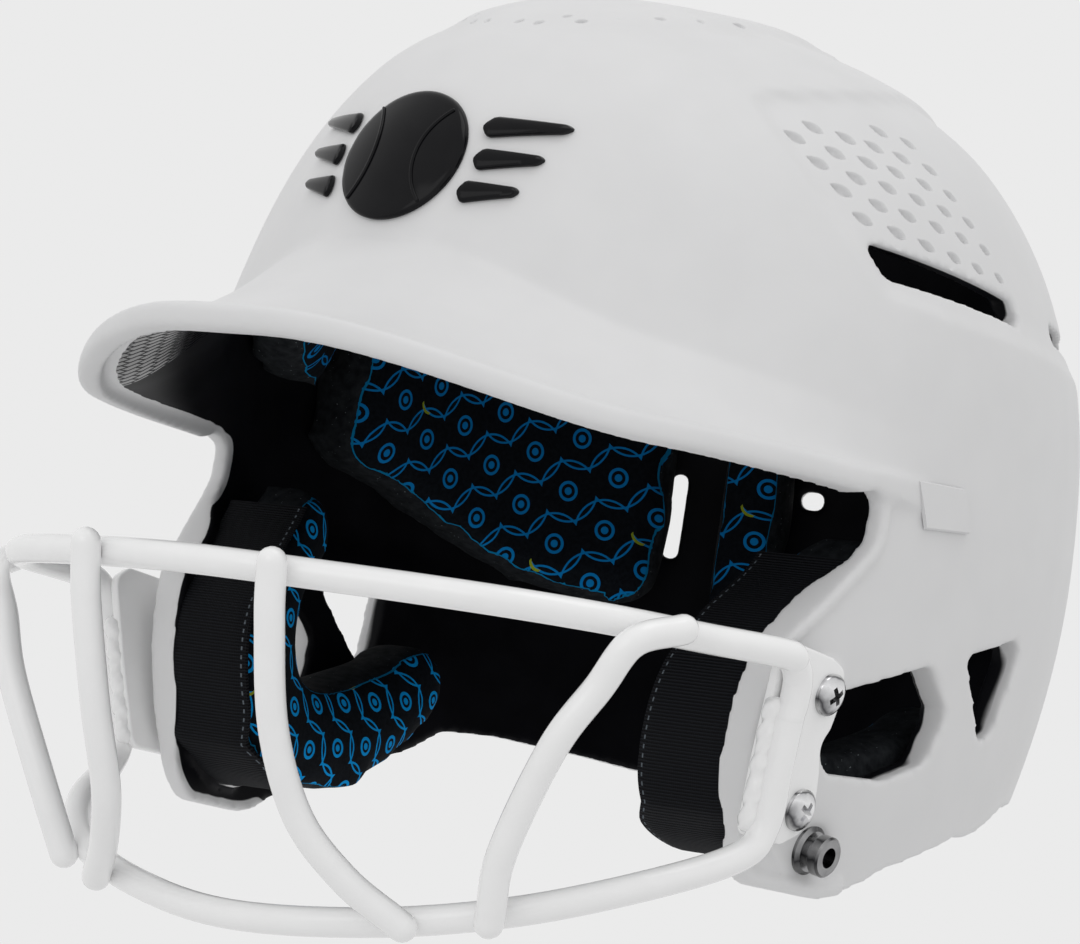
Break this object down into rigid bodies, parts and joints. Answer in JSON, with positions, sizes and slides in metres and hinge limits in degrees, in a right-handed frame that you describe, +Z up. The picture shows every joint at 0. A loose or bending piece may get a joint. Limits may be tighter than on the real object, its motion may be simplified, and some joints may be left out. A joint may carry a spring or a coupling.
{
  "type": "softball batting helmet",
  "caption": "Batting helmet with a long brim, ear flaps, side vents, foam padding and a bolted wire face guard.",
  "frame": {"origin": "centre of the bounding box at its base, on the surface that the helmet rests on", "axes": "-Y to the front, where the brim and guard are; +X to the wearer's left; +Z up. The helmet leans back a little, as it lies on its guard and nape"},
  "size_m": [0.2234, 0.305, 0.2171],
  "materials": {
    "shell_plastic": "matte moulded, white outside and black inside",
    "emblem_gloss": "glossy raised black",
    "coated_wire": "glossy white coating on steel wire",
    "coated_plate": "satin white coating on steel plate",
    "screw_chrome": "polished",
    "zinc_steel": "zinc plated",
    "stud_gunmetal": "dark polished gunmetal",
    "liner_fabric": "printed knit over foam",
    "jaw_fabric": "printed knit over foam",
    "band_webbing": "ribbed woven band"
  },
  "bodies": {
    "root": {"shell": "shell_plastic", "front_emblem": "emblem_gloss", "temple_badge_left": "shell_plastic", "temple_badge_right": "shell_plastic", "guard_upper_hoop": "coated_wire", "guard_lower_hoop": "coated_wire", "guard_inner_bar_left": "coated_wire", "guard_inner_bar_right": "coated_wire", "guard_outer_bar_left": "coated_wire", "guard_outer_bar_right": "coated_wire", "guard_plate_left": "coated_plate", "guard_plate_right": "coated_plate", "guard_screws": "screw_chrome", "guard_t_nuts": "zinc_steel", "chin_stud_left": "stud_gunmetal", "chin_stud_right": "stud_gunmetal", "chin_stud_washer_left": "zinc_steel", "chin_stud_washer_right": "zinc_steel", "front_pad": "liner_fabric", "crown_pad": "liner_fabric", "side_pad_left": "liner_fabric", "side_pad_right": "liner_fabric", "rear_pad_left": "liner_fabric", "rear_pad_right": "liner_fabric", "jaw_pad_left": "jaw_fabric", "jaw_pad_right": "jaw_fabric", "jaw_band_left": "band_webbing", "jaw_band_right": "band_webbing"}
  },
  "joints": []
}
